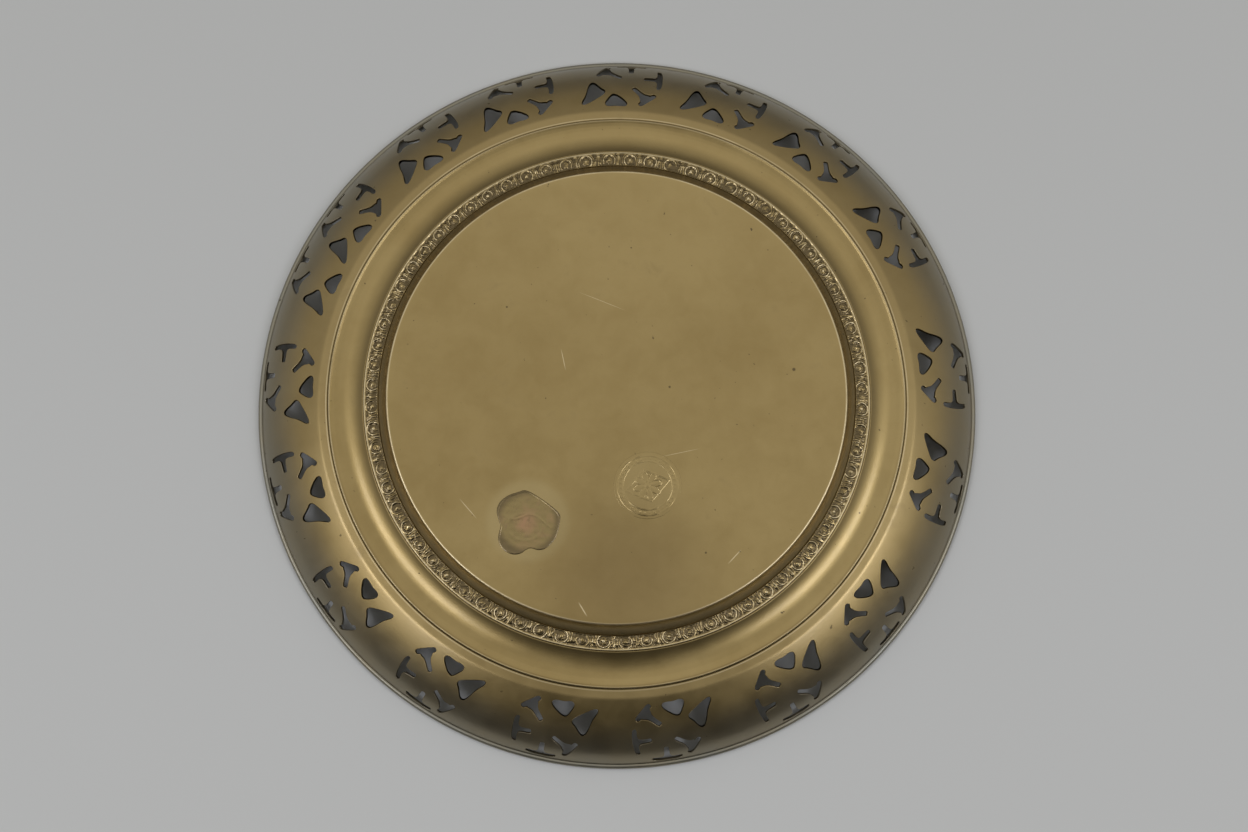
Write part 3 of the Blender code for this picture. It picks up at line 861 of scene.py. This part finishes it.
def makeRim(material):
    # the sheet is triangulated flat round the punched outlines, then each point is put on the turned surface;
    # the inner face repeats it one sheet lower; three strips round each hole make its eased edges and wall
    shape = rimShape
    unroll = shape["unroll"]
    seam = math.radians(shape["seamAngle"])
    (edgeWidth, edgeCount), (wallStart, wallGap, wallCount) = shape["edgeRows"], shape["wallRows"]
    rows = np.concatenate([np.linspace(0, edgeWidth, edgeCount) - shoulderRun, shape["shoulderRows"],
                           np.linspace(wallStart, lastRun - wallGap, wallCount), [lastRun]])
    columns = np.linspace(seam, seam + fullTurn, shape["columns"] + 1)
    grid = np.stack(np.meshgrid(columns, rows), axis=-1)
    border = np.zeros(grid.shape[:2], bool)
    border[[0, -1]] = True
    border[:, [0, -1]] = True
    border = border.ravel()
    gridPoints = grid.reshape(-1, 2) * (unroll, 1.0)
    keep = np.ones(len(gridPoints), bool)
    rings, holes = [], []
    for loop, centre in holeLoops():
        if centre < seam:
            centre += fullTurn
        holes.append((toSheet(loop, centre), toSheet(growLoop(loop, shape["edgeRound"]), centre)))
        ring = holes[-1][1] * (unroll, 1.0)
        rings.append(ring)
        low, high = ring.min(axis=0) - 1.0, ring.max(axis=0) + 1.0
        near = np.flatnonzero(np.all((gridPoints > low) & (gridPoints < high), axis=1) & ~border)
        gaps = np.linalg.norm(gridPoints[near, None] - ring[None], axis=-1).min(axis=1)
        keep[near[(gaps < shape["clearance"]) | insideLoop(gridPoints[near], ring)]] = False
    flat, triangles, outlines = cutSheet(gridPoints[keep], rings)

    angle, down = flat[:, 0] / unroll, flat[:, 1]
    count = len(flat)
    points = [rimPoint(angle, down, 0.0), rimPoint(angle, down, shape["sheet"])]
    normals = [rimNormal(angle, down), -rimNormal(angle, down)]
    threes = [triangles, triangles[:, ::-1] + count]
    fours = []
    total = 2 * count
    for (inner, grown), outline in zip(holes, outlines):
        size = len(inner)
        upper = total + np.arange(size)
        lower = upper + size
        surface = rimPoint(inner[:, 0], inner[:, 1], 0.0)
        inward = surface - rimPoint(grown[:, 0], grown[:, 1], 0.0)
        inward /= np.linalg.norm(inward, axis=1)[:, None]
        points += [rimPoint(inner[:, 0], inner[:, 1], shape["edgeRound"]),
                   rimPoint(inner[:, 0], inner[:, 1], shape["sheet"] - shape["edgeRound"])]
        normals += [inward, inward]
        total += 2 * size
        for above, below in ((outline, upper), (upper, lower), (lower, outline + count)):
            fours.append(np.stack([above, below, np.roll(below, -1), np.roll(above, -1)], axis=1))
    for edgeRun, flip in ((-shoulderRun, True), (lastRun, False)):
        edge = np.flatnonzero(np.abs(down - edgeRun) < 1e-6)
        edge = edge[np.argsort(angle[edge])]
        quads = np.stack([edge[:-1], edge[:-1] + count, edge[1:] + count, edge[1:]], axis=1)
        fours.append(quads[:, ::-1] if flip else quads)

    # the two ends of the sheet share their points, so the ring has no seam
    starts, ends = (np.flatnonzero(np.abs(angle - end) < 1e-6) for end in (columns[0], columns[-1]))
    starts, ends = starts[np.argsort(down[starts])], ends[np.argsort(down[ends])]
    same = np.arange(total)
    same[ends], same[ends + count] = starts, starts + count
    used = np.ones(total, bool)
    used[ends] = used[ends + count] = False
    fresh = (np.cumsum(used) - 1)[same]
    rim = makeMesh("piercedRim", np.concatenate(points)[used] * mm,
                   [fresh[np.concatenate(threes)], fresh[np.concatenate(fours)]], material)
    rim.data.normals_split_custom_set_from_vertices(np.concatenate(normals)[used].tolist())
    return rim


rimBrass = agedBrass("rimBrass", roughness=0.35, tarnish=0.6, cool=0.95, dull=0.22,
                     # painted shade with grime in the groove where the rim meets the dish, and a painted
                     # highlight, partly worn bright, on the flange's rounded inner edge
                     grimeAndShadeRings=((0.10055, 0.0003, 0.8),), rubbedAndGlintRings=((0.1011, 0.0003, 0.6),))
settle(makeRim(rimBrass), "rim_brass", "pierced_rim")

# edge wire and solder seam

wireShape = {"steps": 720, "sides": 20, "radius": 1.1, "wear": 0.03, "waveRadius": 127.0}
solderShape = {
    "steps": 540, "corners": ((103.25, 16.3), (105.6, 15.4), (103.25, 14.9)), "lumps": 0.09,
    "waveRadius": 104.0, "dark": (0.30, 0.29, 0.26), "light": (0.48, 0.47, 0.43),
}
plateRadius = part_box("edge_wire")[1].x / mm


def makeWire(material):
    # a circle of the wire's radius carried round the plate's edge, a little flattened by wear here and there
    shape = wireShape
    angles = stepsRound(shape["steps"])
    around = -np.arange(shape["sides"])[:, None] / shape["sides"] * fullTurn
    wear = shape["wear"] * (1 + wavesRound(angles, shape["waveRadius"], 9, 7, 90, 8))
    thick = shape["radius"] - np.clip(wear, 0, 0.1) * np.abs(np.sin(around * 0.5 + 0.8)) ** 4
    centre = plateRadius - shape["radius"]
    radius = centre + thick * np.cos(around)
    height = shape["radius"] + thick * np.sin(around)
    points = revolve(radius, angles, height)
    return makeMesh("edgeWire", points * mm, [wrapFaces(shape["sides"], shape["steps"], True)], material)


def makeSolder(material):
    # a small three-sided section carried round, swollen and drawn in by lumps along its length
    shape = solderShape
    corners = [np.array(corner) for corner in shape["corners"]]
    loop = np.concatenate([corners[i] + (corners[(i + 1) % 3] - corners[i]) * np.linspace(0, 1, 5)[:-1, None]
                           for i in range(3)])
    centre = loop.mean(axis=0)
    angles = stepsRound(shape["steps"])
    lumps = 1 - shape["lumps"] * (1 + wavesRound(angles, shape["waveRadius"], 21, 8, 60, 5))
    radius = centre[0] + (loop[:, :1] - centre[0]) * lumps
    height = centre[1] + (loop[:, 1:] - centre[1]) * lumps
    points = revolve(radius, angles, height)
    return makeMesh("seamSolder", points * mm, [wrapFaces(len(loop), shape["steps"], True)], material)


def solderMaterial():
    material, tree, shader = newMaterial("dullSolder", {"Metallic": 1.0})
    coords = objectCoords(tree)
    mottle = noise(tree, coords, 260.0, 4.0, 0.6)
    colour = mixColour(tree, mapRange(tree, mottle, 0.35, 0.65), solderShape["dark"], solderShape["light"])
    link(tree, colour, shader.inputs["Base Color"])
    link(tree, mapRange(tree, mottle, 0.3, 0.7, 0.42, 0.62), shader.inputs["Roughness"])
    addBump(tree, shader, noise(tree, coords, 700.0), 0.4, 0.0003)
    return material


wireBrass = agedBrass("wireBrass", roughness=0.42, tarnish=0.6, cool=1.0, lines=0.0, grainBump=0.06)
settle(makeWire(wireBrass), "wire_brass", "edge_wire")
settle(makeSolder(solderMaterial()), "soft_solder", "seam_solder")

# floor, lights and camera

studio = {
    "floorGrey": (0.620, 0.615, 0.574), "floorSize": 6.0,
    "air": 0.36, "airBehind": 0.72, "airEnds": -0.34, "airAbove": 0.34, "airZenith": -0.25, "airLeast": 0.06,
    "boxHeight": 50.0, "boxDistance": 1.15, "boxSize": (0.66, 0.26),
    "leftBox": (205.0, 4.7), "rightBox": (335.0, 4.35),     # degrees round the plate, brightness
    "boxColour": (0.95, 0.985, 1.13),
    "cameraTilt": 8.0, "cameraDistance": 0.85, "lens": 1.959, "shiftUp": 0.08,
    "aim": (0.0025, -0.0398, 0.012),
}


def makeFloor():
    size = studio["floorSize"] / 2
    x, y = np.meshgrid([-size, size], [-size, size])
    points = np.stack([x.ravel(), y.ravel(), np.zeros(4)], axis=1)
    matt = {"Base Color": (*studio["floorGrey"], 1.0), "Roughness": 0.75, "Specular IOR Level": 0.2}
    makeMesh("table", points, [np.array([[0, 1, 3, 2]])], newMaterial("paleTable", matt)[0])


def addLight(name, place, size, radiance, colour):
    # soft box that faces the plate's middle; its power follows from the brightness wanted and its area
    data = bpy.data.lights.new(name, "AREA")
    data.shape = "RECTANGLE"
    data.size, data.size_y = size
    data.energy = radiance * math.pi * size[0] * size[1]
    data.color = colour
    lamp = addObject(name, data)
    lamp.location = place
    lamp.rotation_mode = "QUATERNION"
    lamp.rotation_quaternion = place.to_track_quat("Z", "Y")


def makeWorld():
    # soft room light: brighter overhead and behind, level at the sides, dark in front where nothing lights it
    world = bpy.data.worlds.new("studioAir")
    bpy.context.scene.world = world
    world.use_nodes = True
    tree = world.node_tree
    split = addNode(tree, "ShaderNodeSeparateXYZ")
    link(tree, addNode(tree, "ShaderNodeTexCoord").outputs["Generated"], split.inputs[0])
    back, up = split.outputs[1], math2(tree, "MAXIMUM", split.outputs[2], 0.0)
    level = studio["air"]
    for mask, share in ((times(tree, back, up), "airBehind"), (times(tree, back, back), "airEnds"),
                        (math2(tree, "POWER", up, 3.0), "airAbove"),
                        (math2(tree, "POWER", up, 40.0), "airZenith")):
        level = math2(tree, "ADD", level, times(tree, mask, studio[share]))
    background = tree.nodes["Background"]
    background.inputs["Color"].default_value = (1.0, 1.0, 1.0, 1.0)
    link(tree, math2(tree, "MAXIMUM", level, studio["airLeast"]), background.inputs["Strength"])


def makeCamera():
    tilt = math.radians(studio["cameraTilt"])
    data = bpy.data.cameras.new("camera")
    data.sensor_width = 36.0
    data.lens = studio["lens"] * 36.0
    data.shift_y = studio["shiftUp"]
    data.dof.use_dof = False
    camera = addObject("camera", data)
    aim = Vector(studio["aim"])
    away = Vector((0.0, -math.sin(tilt), math.cos(tilt)))
    camera.location = aim + away * studio["cameraDistance"]
    camera.rotation_mode = "QUATERNION"
    camera.rotation_quaternion = away.to_track_quat("Z", "Y")
    bpy.context.scene.camera = camera


makeFloor()
makeWorld()
for name in ("leftBox", "rightBox"):
    turn, height = math.radians(studio[name][0]), math.radians(studio["boxHeight"])
    way = Vector((math.cos(turn) * math.cos(height), math.sin(turn) * math.cos(height), math.sin(height)))
    addLight(name, way * studio["boxDistance"], studio["boxSize"], studio[name][1], studio["boxColour"])
makeCamera()
bpy.context.scene.view_settings.view_transform = "Standard"
print("plate: studio ready")
